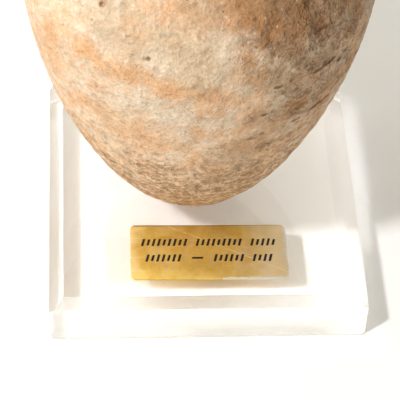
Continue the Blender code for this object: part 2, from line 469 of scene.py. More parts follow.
@dataclass(frozen=True)
class TerracottaFinish:
    """Buff clay under a thin lime bloom, blotched with orange, and crumbly low down and on one side.

    Lengths are in millimetres. knob_height, crumb_height, hollow_reach, hollow_share, knob_shade
    and crack_dark are pairs of a value on sound clay and one on worn clay, and ripple_height and
    ripple_shade are pairs of a value high up and one low down. crack_start and crack_full are
    such pairs too, of the noise that lets a crack show. A name that ends in span says over
    which part of its noise a thing comes up. A family of cracks has a size, a shift of its
    noise and the width of its line in that noise.
    """

    clay: Tone = tone(211, 172, 136)
    bloom: Tone = tone(213, 193, 169)
    orange: Tone = tone(207, 155, 110)
    tan: Tone = tone(188, 147, 107)
    sand: Tone = tone(250, 212, 172)
    # pit is the tone of the painted shade in hollows, pits, cracks and round crumbs.
    pit: Tone = tone(116, 68, 34)
    lime: Tone = tone(228, 212, 190)
    roughness: float = 0.92
    shine: float = 0.2
    bump: float = 1.0
    sandiness: float = 0.7
    sound_to_worn_height: Span = (80.0, 32.0)
    sound_to_worn_side: Span = (0.0, 34.0)
    side_wear: float = 0.8
    drift_size: float = 16.0
    drift: float = 40.0
    warp_size: float = 5.0
    warp: float = 4.0
    grain_size: float = 0.9
    grain_height: float = 0.14
    grain_span: Span = (0.25, 0.75)
    # grain_shade, ripple_shade, ripple_light, knob_shade and knob_light paint the light and shade of the
    # relief into the colour; green_shade and blue_shade warm that painted shade.
    grain_shade: Span = (0.9, 1.08)
    ripple_size: float = 2.0
    ripple_height: Span = (0.6, 2.0)
    ripple_span: Span = (0.38, 0.56)
    ripple_shade: Span = (0.94, 0.74)
    ripple_light: float = 1.08
    knob_size: float = 6.5
    knob_height: Span = (2.2, 6.0)
    knob_span: Span = (0.36, 0.6)
    knob_shade: Span = (0.95, 0.8)
    knob_light: float = 1.04
    green_shade: float = 1.2
    blue_shade: float = 1.45
    fleck_size: float = 1.7
    fleck_span: Span = (0.64, 0.74)
    fleck_strength: float = 0.5
    crumb_size: float = 2.0
    crumb_warp_size: float = 1.5
    crumb_warp: float = 1.4
    crumb_height: Span = (-0.08, -0.4)
    # The crumb rim, hollow, big pit and crack fields that end in dark set how strong that painted shade is.
    crumb_rim_span: Span = (0.45, 0.85)
    crumb_rim_dark: float = 0.5
    hollow_reach: Span = (0.25, 0.62)
    hollow_share: Span = (0.2, 0.75)
    hollow_floor: float = 0.35
    hollow_dark: float = 0.4
    hollow_depth: float = 0.3
    big_pit_dark: float = 0.25
    crack_families: tuple[tuple[float, float, float], ...] = ((4.2, 11.0, 0.05), (2.4, 47.0, 0.07))
    crack_start: Span = (0.64, 0.46)
    crack_full: Span = (0.8, 0.66)
    crack_warp: float = 0.3
    crack_dark: Span = (0.25, 0.6)
    crack_depth: float = 0.25
    # Some of these stains also stand in for shade on the side that the key light reaches least.
    stains_and_shade: tuple[ColourPatch, ...] = ()
    stain_and_shade_fray: float = 5.0
    # The slits are painted shadows of crevices, in colour only.
    slit_shadows: tuple[ColourPatch, ...] = ()
    slit_shadow_fray: float = 1.6

    def blotches(self, graph: Graph, effects: SharedEffects, swirled: Socket) -> Socket:
        """The clay's own colours, in soft ragged patches.

        Args:
            graph: The material's graph.
            effects: The shared groups.
            swirled: The point, moved by noise.

        Returns:
            The colour.
        """
        colour: Feed = self.clay
        for layer in (Patches(self.tan, 24.0, 0.42, 0.16, 0.55, 0.8),
                      Patches(self.bloom, 12.0, 0.55, 0.11, 0.66, 0.9),
                      Patches(self.orange, 8.0, 0.42, 0.1, 0.64, 0.75),
                      Patches(self.bloom, 3.4, 0.4, 0.12, 0.62, 0.5),
                      Patches(self.tan, 2.6, 0.3, 0.1, 0.6, 0.5)):
            mask = effects.patches(graph, swirled, layer.size, layer.cover, layer.edge, layer.ragged)
            colour = graph.blend(graph.times(mask, layer.strength), colour, layer.colour)
        return colour

    def stained_and_shaded(self, graph: Graph, colour: Socket, point: Socket, swirled: Socket,
                radius_at: Callable[[float], float]) -> Socket:
        """A colour with the stains and patches of painted shade, and the slits' painted shadows, laid over
        it.

        Args:
            graph: The material's graph.
            colour: The colour under them.
            point: The point in millimetres.
            swirled: The same, moved by noise.
            radius_at: The pot's radius at a height, both in metres.

        Returns:
            The colour.
        """
        for marks, fray in ((self.stains_and_shade, self.stain_and_shade_fray), (self.slit_shadows, self.slit_shadow_fray)):
            ragged = graph.noise(swirled, fray, 5.0, 0.62)
            for mark in marks:
                radius = radius_at(mark.height * MM) * PER_METRE
                colour = graph.blend(mark.mask(graph, point, ragged, radius), colour, mark.colour)
        return colour

    def crevices(self, graph: Graph, point: Socket, worn: Socket) -> Socket:
        """Short soft cracks between crumbs, more of them where the skin is worn.

        Args:
            graph: The material's graph.
            point: The point in millimetres.
            worn: How worn the clay is there.

        Returns:
            The mask.
        """
        total: Feed = 0.0
        start = graph.between(worn, self.crack_start)
        full = graph.between(worn, self.crack_full)
        for size, shift, width in self.crack_families:
            moved = graph.vector("ADD", point, (shift, shift, shift))
            away = graph.number("ABSOLUTE", graph.minus(graph.noise(moved, size, 2.0, 0.55), 0.5))
            line = graph.remap(away, 0.0, width, 1.0, 0.0)
            chance = graph.noise(graph.vector("ADD", moved, (5.0, 90.0, 3.0)), size * 1.3, 1.0)
            total = graph.largest(total, graph.times(line, graph.remap(chance, start, full)))
        return total

    def skin(self, graph: Graph, point: Socket, warp: Socket) -> Skin:
        """Reads what the clay is like.

        Args:
            graph: The material's graph.
            point: The point in millimetres.
            warp: How far noise moves it.

        Returns:
            The skin there.
        """
        drift = graph.times(graph.minus(graph.noise(point, self.drift_size), 0.5), self.drift)
        x, _, z = graph.split(point)
        low_down = graph.remap(graph.plus(z, drift), *self.sound_to_worn_height)
        # The +X side, which faces away from the key light, counts as worn: it is rougher, and the painted
        # shade in its relief is deeper.
        one_side = graph.remap(graph.plus(x, drift), *self.sound_to_worn_side)
        worn = graph.largest(low_down, graph.times(one_side, self.side_wear))
        crumbled = graph.vector("ADD", point, graph.wander(point, self.crumb_warp_size, 3.0, self.crumb_warp))
        crumb, luck = graph.cells(crumbled, self.crumb_size)
        reach = graph.times(luck[0], graph.between(worn, self.hollow_reach))
        kept = graph.number("LESS_THAN", luck[1], graph.between(worn, self.hollow_share))
        sunk = graph.remap(crumb, graph.times(reach, self.hollow_floor), reach, 1.0, 0.0)
        cracked = graph.vector("ADD", point, graph.scaled(warp, self.crack_warp))
        return Skin(grain=graph.noise(point, self.grain_size, 3.0, 0.7),
                    ripples=graph.noise(point, self.ripple_size, 4.0, 0.62),
                    knobs=graph.noise(point, self.knob_size, 4.0, 0.56),
                    crumb=crumb, hollow=graph.times(sunk, kept),
                    cracks=self.crevices(graph, cracked, worn), low_down=low_down, worn=worn)

    def shaded(self, graph: Graph, colour: Socket, point: Socket, skin: Skin) -> Socket:
        """A colour with the painted light and shade of the skin's relief, flecked with lime, and with painted
        shade in its hollows.

        Args:
            graph: The material's graph.
            colour: The colour before.
            point: The point in millimetres.
            skin: The skin there.

        Returns:
            The colour.
        """
        # Painted light and shade: the grain, ripples and knobs that raise the relief also lighten the colour
        # where they stand high and darken it where they sink, more so low down and on the worn side.
        low_ripple = graph.between(skin.low_down, self.ripple_shade)
        low_knob = graph.between(skin.worn, self.knob_shade)
        shade = graph.times(graph.remap(skin.grain, *self.grain_span, *self.grain_shade),
                            graph.remap(skin.ripples, *self.ripple_span, low_ripple, self.ripple_light),
                            graph.remap(skin.knobs, *self.knob_span, low_knob, self.knob_light))
        tinted = graph.xyz(shade, graph.number("POWER", shade, self.green_shade),
                           graph.number("POWER", shade, self.blue_shade))
        colour = graph.blend(1.0, colour, tinted, "MULTIPLY")
        specks = graph.noise(graph.vector("ADD", point, (40.0, 7.0, 3.0)), self.fleck_size, 2.0, 0.6)
        flecks = graph.remap(specks, *self.fleck_span, 0.0, self.fleck_strength)
        colour = graph.blend(flecks, colour, self.lime)
        # Painted shade: the colour goes toward the pit tone in the hollows, the big pits and the cracks, and
        # round the crumbs' rims low down.
        big_pits = graph.add("ShaderNodeAttribute", attribute_name="pitting").outputs["Fac"]
        rims = graph.remap(skin.crumb, *self.crumb_rim_span, 0.0, self.crumb_rim_dark)
        dark = graph.largest(graph.times(skin.hollow, self.hollow_dark),
                             graph.times(big_pits, self.big_pit_dark),
                             graph.times(skin.cracks, graph.between(skin.worn, self.crack_dark)),
                             graph.times(rims, skin.low_down))
        return graph.blend(dark, colour, self.pit)

    def relief(self, graph: Graph, skin: Skin) -> Socket:
        """How high the skin stands at a point, in millimetres.

        Args:
            graph: The material's graph.
            skin: The skin there.

        Returns:
            The height.
        """
        raised = graph.plus(graph.times(skin.knobs, graph.between(skin.worn, self.knob_height)),
                            graph.times(skin.ripples, graph.between(skin.low_down, self.ripple_height)),
                            graph.times(skin.crumb, graph.between(skin.worn, self.crumb_height)),
                            graph.times(skin.grain, self.grain_height))
        sunk = graph.plus(graph.times(skin.hollow, self.hollow_depth),
                          graph.times(skin.cracks, self.crack_depth))
        return graph.minus(raised, sunk)

    def material(self, effects: SharedEffects, centre: Vector,
                 radius_at: Callable[[float], float]) -> bpy.types.Material:
        """Makes the clay.

        Args:
            effects: The shared groups.
            centre: Where the pot's heights and the pattern are counted from.
            radius_at: The pot's radius at a height, both in metres.

        Returns:
            The material.
        """
        values = {"Roughness": self.roughness, "Specular IOR Level": self.shine}
        material, graph, inputs = new_material("weathered_terracotta", self.clay, values)
        point = millimetres(graph, centre)
        warp = graph.wander(point, self.warp_size, 3.0, self.warp)
        swirled = graph.vector("ADD", point, warp)
        skin = self.skin(graph, point, warp)
        colour = self.stained_and_shaded(graph, self.blotches(graph, effects, swirled), point, swirled, radius_at)
        colour = graph.blend(graph.times(skin.low_down, self.sandiness), colour, self.sand)
        graph.feed(inputs["Base Color"], self.shaded(graph, colour, point, skin))
        graph.feed(inputs["Normal"], graph.bumped(self.relief(graph, skin), self.bump))
        return material


@dataclass(frozen=True)
class AcrylicFinish:
    """Clear cast acrylic, as smooth as its polish leaves it."""

    name: str = "polished_acrylic"
    roughness: float = 0.0
    tint: Tone = (0.985, 0.986, 0.983, 1.0)
    index: float = 1.52
    plain_view_share: float = 0.3

    def material(self) -> bpy.types.Material:
        """Makes the acrylic."""
        values = {"Base Color": self.tint, "Roughness": self.roughness, "IOR": self.index,
                  "Transmission Weight": 1.0}
        return new_material(self.name, (*self.tint[:3], self.plain_view_share), values)[0]


@dataclass(frozen=True)
class GiltFinish:
    """Satin gilt metal, brushed and scratched, worn pale at its ends and silvery along its rim.

    Lengths are in millimetres. Patches are given by their size, their cover and how soft their
    edge is, and scratches by their turn in degrees, their length, their pitch and their share.
    wear_from says where the wear starts, as shares of half the plate's length to the right and
    the left, and the rims' pairs count in from the plate's edge.
    """

    gilt: Tone = tone(246, 222, 136)
    deep: Tone = tone(226, 190, 84)
    worn: Tone = tone(244, 228, 196)
    silver: Tone = tone(240, 238, 230)
    tarnish: Tone = tone(150, 112, 52)
    scratch: Tone = tone(250, 236, 200)
    roughness: float = 0.55
    uneven_polish: float = 0.12
    bump: float = 0.6
    dent_size: float = 3.0
    dent_depth: float = 0.05
    line_depth: float = 0.01
    deep_patches: tuple[float, float, float] = (9.0, 0.5, 0.2)
    polish_patches: tuple[float, float, float] = (5.0, 0.45, 0.2)
    scratch_breaks: tuple[float, float, float] = (2.5, 0.6, 0.2)
    brush_lines: tuple[float, float, float, float] = (1.0, 18.0, 0.3, 0.45)
    cross_lines: tuple[float, float, float, float] = (-38.0, 9.0, 0.5, 0.12)
    line_strength: float = 0.45
    long_scratch_lean: float = 1.9
    long_scratch_place: float = -8.0
    long_scratch_span: Span = (0.3, 0.8)
    long_scratch_strength: float = 0.7
    wear_from: Span = (0.1, -0.75)
    right_wear: Span = (0.05, 0.9)
    left_wear: Span = (0.0, 0.4)
    wear_size: float = 7.0
    wear_edge: float = 0.3
    wear_strength: float = 0.85
    rim_size: float = 1.3
    rim_edge: float = 0.08
    low_rim: Span = (1.3, 0.2)
    low_rim_place: Span = (-8.0, 10.0)
    low_rim_wear: float = 0.7
    end_rim: float = 2.4
    end_rim_wear: float = 0.62
    top_rim: Span = (0.7, 0.2)
    top_rim_strength: float = 0.6

    def material(self, effects: SharedEffects, centre: Vector, half_width: float,
                 half_depth: float) -> bpy.types.Material:
        """Makes the gilt metal.

        Args:
            effects: The shared groups.
            centre: The plate's middle.
            half_width: Half its length in millimetres.
            half_depth: Half its depth in millimetres.

        Returns:
            The material.
        """
        material, graph, inputs = new_material("worn_gilt", self.gilt, {"Metallic": 1.0})
        point = millimetres(graph, centre)
        across, up, _ = graph.split(point)
        patches = partial(effects.patches, graph, point)
        scratches = partial(effects.scratches, graph, point)

        colour = graph.blend(patches(*self.deep_patches), self.gilt, self.deep)
        right_start, left_start = (share * half_width for share in self.wear_from)
        ends = graph.largest(graph.remap(across, right_start, half_width, *self.right_wear),
                             graph.remap(across, left_start, -half_width, *self.left_wear))
        worn_off = graph.times(patches(self.wear_size, ends, self.wear_edge), self.wear_strength)
        colour = graph.blend(worn_off, colour, self.worn)
        lines = graph.largest(scratches(*self.brush_lines), scratches(*self.cross_lines))
        colour = graph.blend(graph.times(lines, self.line_strength), colour, self.scratch)
        off_line = graph.plus(across, graph.times(up, self.long_scratch_lean), self.long_scratch_place)
        long_scratch = graph.remap(graph.number("ABSOLUTE", off_line), *self.long_scratch_span,
                                   self.long_scratch_strength, 0.0)
        broken = graph.times(long_scratch, patches(*self.scratch_breaks))
        colour = graph.blend(broken, colour, self.scratch)

        low_start, low_end = (inward - half_depth for inward in self.low_rim)
        low_rim = graph.times(graph.remap(up, low_start, low_end, 0.0, self.low_rim_wear),
                              graph.remap(across, *self.low_rim_place))
        end_rim = graph.remap(across, half_width - self.end_rim, half_width, 0.0, self.end_rim_wear)
        rim = patches(self.rim_size, graph.largest(low_rim, end_rim), self.rim_edge)
        colour = graph.blend(graph.times(rim, self.wear_strength), colour, self.silver)
        top_start, top_end = (half_depth - inward for inward in self.top_rim)
        top_rim = graph.remap(up, top_start, top_end, 0.0, self.top_rim_strength)
        graph.feed(inputs["Base Color"], graph.blend(top_rim, colour, self.tarnish))

        uneven = graph.times(patches(*self.polish_patches), self.uneven_polish)
        graph.feed(inputs["Roughness"], graph.plus(self.roughness, uneven))
        dents = graph.times(graph.noise(point, self.dent_size, 3.0), self.dent_depth)
        relief = graph.minus(dents, graph.times(lines, self.line_depth))
        graph.feed(inputs["Normal"], graph.bumped(relief, self.bump))
        return material


@dataclass(frozen=True)
class InkFinish:
    """Matt black fill in the strokes, a little lighter in places."""

    ink: Tone = tone(26, 18, 12)
    roughness: float = 0.6
    cloud_size: float = 1.2
    cloud_span: Span = (0.3, 0.8)
    shade: Span = (0.7, 1.6)

    def material(self) -> bpy.types.Material:
        """Makes the ink.

        Returns:
            The material.
        """
        material, graph, inputs = new_material("stroke_ink", self.ink, {"Roughness": self.roughness})
        cloud = graph.noise(millimetres(graph, Vector()), self.cloud_size, 3.0)
        light = graph.remap(cloud, *self.cloud_span, *self.shade)
        colour = graph.blend(1.0, self.ink, graph.xyz(light, light, light), "MULTIPLY")
        graph.feed(inputs["Base Color"], colour)
        return material


def evaluated_mesh(item: bpy.types.Object) -> bpy.types.Mesh:
    """A plain mesh of an object with its modifiers, which are left behind.

    Args:
        item: The object.

    Returns:
        The mesh.
    """
    depsgraph = bpy.context.evaluated_depsgraph_get()
    depsgraph.update()
    return bpy.data.meshes.new_from_object(item.evaluated_get(depsgraph), depsgraph=depsgraph)


def placed(name: str, data: bpy.types.ID) -> bpy.types.Object:
    """A new object at the origin.

    Args:
        name: Its name.
        data: Its mesh, light or camera.

    Returns:
        The object.
    """
    item = bpy.data.objects.new(name, data)
    bpy.context.scene.collection.objects.link(item)
    return item


def grown(name: str, base: bpy.types.Mesh, tree: bpy.types.NodeTree,
          values: Mapping[str, Feed]) -> bpy.types.Mesh:
    """Runs a geometry tree on a mesh.

    Args:
        name: The result's name.
        base: The mesh that the tree takes.
        tree: The tree.
        values: What its other inputs take, by name.

    Returns:
        The result as a plain mesh.
    """
    item = placed(name, base)
    modifier = item.modifiers.new("Grow", "NODES")
    modifier.node_group = tree
    for socket in tree.interface.items_tree:
        if socket.in_out == "INPUT" and socket.name in values:
            modifier[socket.identifier] = values[socket.name]
    item.update_tag()
    mesh = evaluated_mesh(item)
    bpy.data.objects.remove(item)
    mesh.name = name
    return mesh


def drawn_off(name: str, shape: bmesh.types.BMesh) -> bpy.types.Mesh:
    """A mesh made from an editable shape, which is freed.

    Args:
        name: The mesh's name.
        shape: The shape.

    Returns:
        The mesh.
    """
    mesh = bpy.data.meshes.new(name)
    shape.to_mesh(mesh)
    shape.free()
    return mesh


def rounded_box(width: float, depth: float, height: float, radius: float,
                spans: int) -> bmesh.types.BMesh:
    """A box that stands on z = 0, with round upright corners.

    Args:
        width: Its size along X.
        depth: Its size along Y.
        height: Its size along Z.
        radius: The corners' radius.
        spans: How many faces each corner has.

    Returns:
        The box, still editable.
    """
    shape = bmesh.new()
    size = Matrix.Diagonal((width, depth, height, 1.0))
    bmesh.ops.create_cube(shape, size=1.0, matrix=Matrix.Translation((0.0, 0.0, height / 2)) @ size)
    upright = [edge for edge in shape.edges
               if abs(edge.verts[0].co.z - edge.verts[1].co.z) > height / 2]
    bmesh.ops.bevel(shape, geom=upright, offset=radius, segments=spans, profile=0.5, affect="EDGES")
    return shape


def smoothed(mesh: bpy.types.Mesh) -> None:
    """Shades a mesh smooth between its sharp edges."""
    mesh.polygons.foreach_set("use_smooth", [True] * len(mesh.polygons))
    mesh.set_sharp_from_angle(angle=SHARP_ANGLE)


def line_mesh(points: Sequence[Vector]) -> bpy.types.Mesh:
    """A section as a line of points in the XZ plane.

    Args:
        points: The points, as radius and height.

    Returns:
        The mesh.
    """
    mesh = bpy.data.meshes.new("section")
    edges = [(i, i + 1) for i in range(len(points) - 1)]
    mesh.from_pydata([(point.x, 0.0, point.y) for point in points], edges, [])
    return mesh


def turning_tree() -> bpy.types.NodeTree:
    """A geometry tree that turns a section round an upright axis into a closed skin.

    Returns:
        The tree.
    """
    takes = [Port("Section", PortKind.GEOMETRY), Port("Turn Steps", PortKind.COUNT, 64),
             Port("Axis", PortKind.VECTOR), Port("Merge Distance", value=TINY),
             Port("Material", PortKind.MATERIAL)]
    graph, taken, result = new_tree("turned_section", "GeometryNodeTree", takes,
                                    Port("Skin", PortKind.GEOMETRY))
    counted = graph.add("GeometryNodeAttributeDomainSize", {"Geometry": taken["Section"]})
    rows = counted.outputs["Point Count"]
    sizes = {"Size X": 1.0, "Size Y": 1.0, "Vertices X": graph.plus(taken["Turn Steps"], 1.0),
             "Vertices Y": rows}
    grid = graph.add("GeometryNodeMeshGrid", sizes).outputs
    across, along, _ = graph.split(grid["UV Map"])
    row = graph.number("ROUND", graph.times(along, graph.minus(rows, 1.0)))
    here = graph.add("GeometryNodeInputPosition").outputs[0]
    on_section = graph.reshaped("GeometryNodeSampleIndex", taken["Section"],
                                {"Value": here, "Index": row}, data_type="FLOAT_VECTOR")
    turned = graph.turned(on_section, graph.times(across, math.tau))
    skin = graph.reshaped("GeometryNodeSetPosition", grid["Mesh"],
                          {"Position": graph.vector("ADD", turned, taken["Axis"])})
    skin = graph.reshaped("GeometryNodeMergeByDistance", skin, {"Distance": taken["Merge Distance"]})
    skin = graph.reshaped("GeometryNodeRealizeInstances", skin)
    skin = graph.reshaped("GeometryNodeSetMaterial", skin, {"Material": taken["Material"]})
    graph.feed(result, skin)
    return graph.tree


def weathering_tree() -> bpy.types.NodeTree:
    """A geometry tree that makes a turned pot uneven, ridged, rough and pitted on its outside.

    Returns:
        The tree.
    """
    takes = [Port("Pot", PortKind.GEOMETRY), Port("Axis", PortKind.VECTOR), Port("Seed"),
             Port("Swell Height", value=0.25), Port("Swell Size", value=30.0),
             Port("Ridge Height", value=0.1), Port("Ridge Size", value=4.0),
             Port("Lump Height", value=0.55), Port("Lump Size", value=3.4),
             Port("Pit Depth", value=0.45), Port("Pit Size", value=5.0), Port("Pit Share", value=0.4),
             Port("Rough Below", value=45.0), Port("Smooth Above", value=85.0),
             Port("Smooth Side", value=10.0), Port("Rough Side", value=36.0),
             Port("Foot Height", value=6.0), Port("Material", PortKind.MATERIAL)]
    graph, taken, result = new_tree("weathered_pot", "GeometryNodeTree", takes,
                                    Port("Pot", PortKind.GEOMETRY))
    least_rough, side_rough = 0.35, 0.9
    every_way, round_the_pot = (1.0, 1.0, 1.0), (0.12, 0.12, 1.0)
    inside_to_outside = (-0.4, 0.1)
    small_to_wide_pit, shallow_to_deep_pit, pit_floor = (0.14, 0.36), (0.5, 1.0), 0.3
    least_pitted = 0.25
    seed_step = (31.0, 57.0, 13.0)
    here = graph.add("GeometryNodeInputPosition").outputs[0]
    normal = graph.add("GeometryNodeInputNormal").outputs[0]
    point = graph.scaled(graph.vector("SUBTRACT", here, taken["Axis"]), PER_METRE)
    x, y, height = graph.split(point)
    outward = graph.measure("DOT_PRODUCT", normal, graph.vector("NORMALIZE", graph.xyz(x, y)))
    above_foot = graph.remap(height, taken["Foot Height"], graph.times(taken["Foot Height"], 2.0))
    outside = graph.times(graph.remap(outward, *inside_to_outside), above_foot)
    rough = graph.largest(
        graph.remap(height, taken["Smooth Above"], taken["Rough Below"], least_rough, 1.0),
        graph.remap(x, taken["Smooth Side"], taken["Rough Side"], least_rough, side_rough))
    shifted = graph.vector("ADD", point, graph.scaled(seed_step, taken["Seed"]))

    def layer(size: Socket, squash: tuple[float, float, float], detail: float, tall: Feed) -> Socket:
        """Noise of one size round nought, times its height."""
        cloud = graph.noise(graph.vector("MULTIPLY", shifted, squash), size, detail)
        return graph.times(graph.minus(cloud, 0.5), graph.times(tall, 2.0))

    swell = layer(taken["Swell Size"], every_way, 1.0, taken["Swell Height"])
    ridges = layer(taken["Ridge Size"], round_the_pot, 2.0, taken["Ridge Height"])
    lumps = layer(taken["Lump Size"], every_way, 3.0, graph.times(taken["Lump Height"], rough))
    strayed = graph.vector("ADD", shifted, graph.wander(shifted, 3.0, 2.0, 2.5))
    away, luck = graph.cells(strayed, taken["Pit Size"])
    reach = graph.between(luck[0], small_to_wide_pit)
    share = graph.times(taken["Pit Share"], graph.remap(rough, least_rough, 1.0, least_pitted, 1.0))
    kept = graph.number("LESS_THAN", luck[1], share)
    bowl = graph.remap(away, graph.times(reach, pit_floor), reach, 1.0, 0.0)
    pit = graph.times(bowl, kept, outside)
    hollows = graph.times(pit, taken["Pit Depth"], graph.between(luck[2], shallow_to_deep_pit))
    raised = graph.times(graph.plus(swell, ridges, lumps), outside)
    move = graph.scaled(normal, graph.times(graph.minus(raised, hollows), MM))
    # The pit mask is kept as the pitting attribute, which the clay's material reads to paint shade into the
    # pits.
    pot = graph.reshaped("GeometryNodeStoreNamedAttribute", taken["Pot"],
                         {"Name": "pitting", "Value": pit}, data_type="FLOAT", domain="POINT")
    pot = graph.reshaped("GeometryNodeSetPosition", pot, {"Offset": move})
    pot = graph.reshaped("GeometryNodeSetShadeSmooth", pot)
    pot = graph.reshaped("GeometryNodeRealizeInstances", pot)
    pot = graph.reshaped("GeometryNodeSetMaterial", pot, {"Material": taken["Material"]})
    graph.feed(result, pot)
    return graph.tree


def bezier(start: Vector, start_hold: Vector, end_hold: Vector, end: Vector, spans: int) -> list[Vector]:
    """Points on a cubic curve, its start left out.

    Args:
        start: Where it starts.
        start_hold: The point that it leaves toward.
        end_hold: The point that it arrives from.
        end: Where it ends.
        spans: How many points it gets.

    Returns:
        The points.
    """
    points = []
    for i in range(1, spans + 1):
        t = i / spans
        weights = ((1 - t) ** 3, 3 * t * (1 - t) ** 2, 3 * t * t * (1 - t), t ** 3)
        pulls = [weight * point for weight, point in zip(weights, (start, start_hold, end_hold, end))]
        points.append(sum(pulls, Vector((0.0, 0.0))))
    return points


def straight(start: Vector, end: Vector, spans: int) -> list[Vector]:
    """Evenly spaced points on a straight line, its start left out."""
    return bezier(start, start.lerp(end, 1 / 3), start.lerp(end, 2 / 3), end, spans)


def inset(points: Sequence[Vector], distance: float) -> list[Vector]:
    """The points moved square to their curve, to the left of its direction.

    Args:
        points: The points, along the curve.
        distance: How far they move.

    Returns:
        The moved points.
    """
    moved = []
    for i, point in enumerate(points):
        along = (points[min(i + 1, len(points) - 1)] - points[max(i - 1, 0)]).normalized()
        moved.append(point + distance * Vector((-along.y, along.x)))
    return moved


def spaced(points: Sequence[Vector], gap_at: Callable[[Vector], float]) -> list[Vector]:
    """Points along a line, at a gap that may change along it.

    Args:
        points: The line's own points.
        gap_at: The gap wanted near a point.

    Returns:
        The first point, the spaced ones and the last.
    """
    kept = [points[0]]
    since = 0.0
    for before, after in zip(points, points[1:]):
        since += (after - before).length
        if since >= gap_at(after):
            kept.append(after)
            since = 0.0
    if since > 0.0:
        if since < gap_at(points[-1]) / 2 and len(kept) > 1:
            kept.pop()
        kept.append(points[-1])
    return kept


@dataclass(frozen=True)
class Block:
    """The clear block with its chamfers, soft corners and polished edges."""

    width: float = 0.1016
    depth: float = 0.1016
    height: float = 0.0175
    front_chamfer: float = 0.0031
    side_chamfer: float = 0.0047
    corner_radius: float = 0.0016
    corner_spans: int = 8
    foot_bevel: float = 0.0004
    polish_round: float = 0.00018
    polished_angle: float = math.radians(30.0)
    level_share: float = 0.9

    def solid(self) -> bpy.types.Mesh:
        """The block before its edges are polished.

        Returns:
            The mesh.
        """
        shape = rounded_box(self.width, self.depth, self.height, self.corner_radius, self.corner_spans)

        def shave(place: Sequence[float], normal: Sequence[float]) -> None:
            """Cuts off what lies beyond a plane and closes the cut.

            Args:
                place: A point on the plane.
                normal: The way that the plane faces.
            """
            everything = shape.verts[:] + shape.edges[:] + shape.faces[:]
            cut = bmesh.ops.bisect_plane(shape, geom=everything, dist=TINY, plane_co=place,
                                         plane_no=normal, clear_outer=True)
            rim = [part for part in cut["geom_cut"] if isinstance(part, bmesh.types.BMEdge)]
            bmesh.ops.holes_fill(shape, edges=rim, sides=0)

        for way in (-1, 1):
            shave((way * self.width / 2, 0.0, self.height - self.side_chamfer), (way, 0.0, 1.0))
            shave((0.0, way * self.depth / 2, self.height - self.front_chamfer), (0.0, way, 1.0))
        foot = [edge for edge in shape.edges if all(vert.co.z < TINY for vert in edge.verts)]
        bmesh.ops.bevel(shape, geom=foot, offset=self.foot_bevel, segments=2, affect="EDGES")
        bmesh.ops.recalc_face_normals(shape, faces=shape.faces)
        return drawn_off("block_blank", shape)

    def build(self, level_faces: AcrylicFinish, sides: AcrylicFinish) -> bpy.types.Object:
        """Cuts and polishes the block.

        Args:
            level_faces: The acrylic's finish on its top and underside.
            sides: Its finish on the sides and chamfers.

        Returns:
            The block.
        """
        blank = placed("block_blank", self.solid())
        for finish in (level_faces, sides):
            blank.data.materials.append(finish.material())
        polish = blank.modifiers.new("Polish", "BEVEL")
        polish.width = self.polish_round
        polish.segments = 2
        polish.limit_method = "ANGLE"
        polish.angle_limit = self.polished_angle
        mesh = evaluated_mesh(blank)
        bpy.data.objects.remove(blank)
        mesh.name = "polished_block"
        finishes = [int(abs(face.normal.z) < self.level_share) for face in mesh.polygons]
        mesh.polygons.foreach_set("material_index", finishes)
        smoothed(mesh)
        block = placed("polished_block", mesh)
        weigh = block.modifiers.new("Faces", "WEIGHTED_NORMAL")
        weigh.keep_sharp = True
        weigh.weight = 100
        block.data = evaluated_mesh(block)
        block.modifiers.clear()
        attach(block, Body.ROOT.value)
        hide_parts(Part.BLOCK.value)
        return block


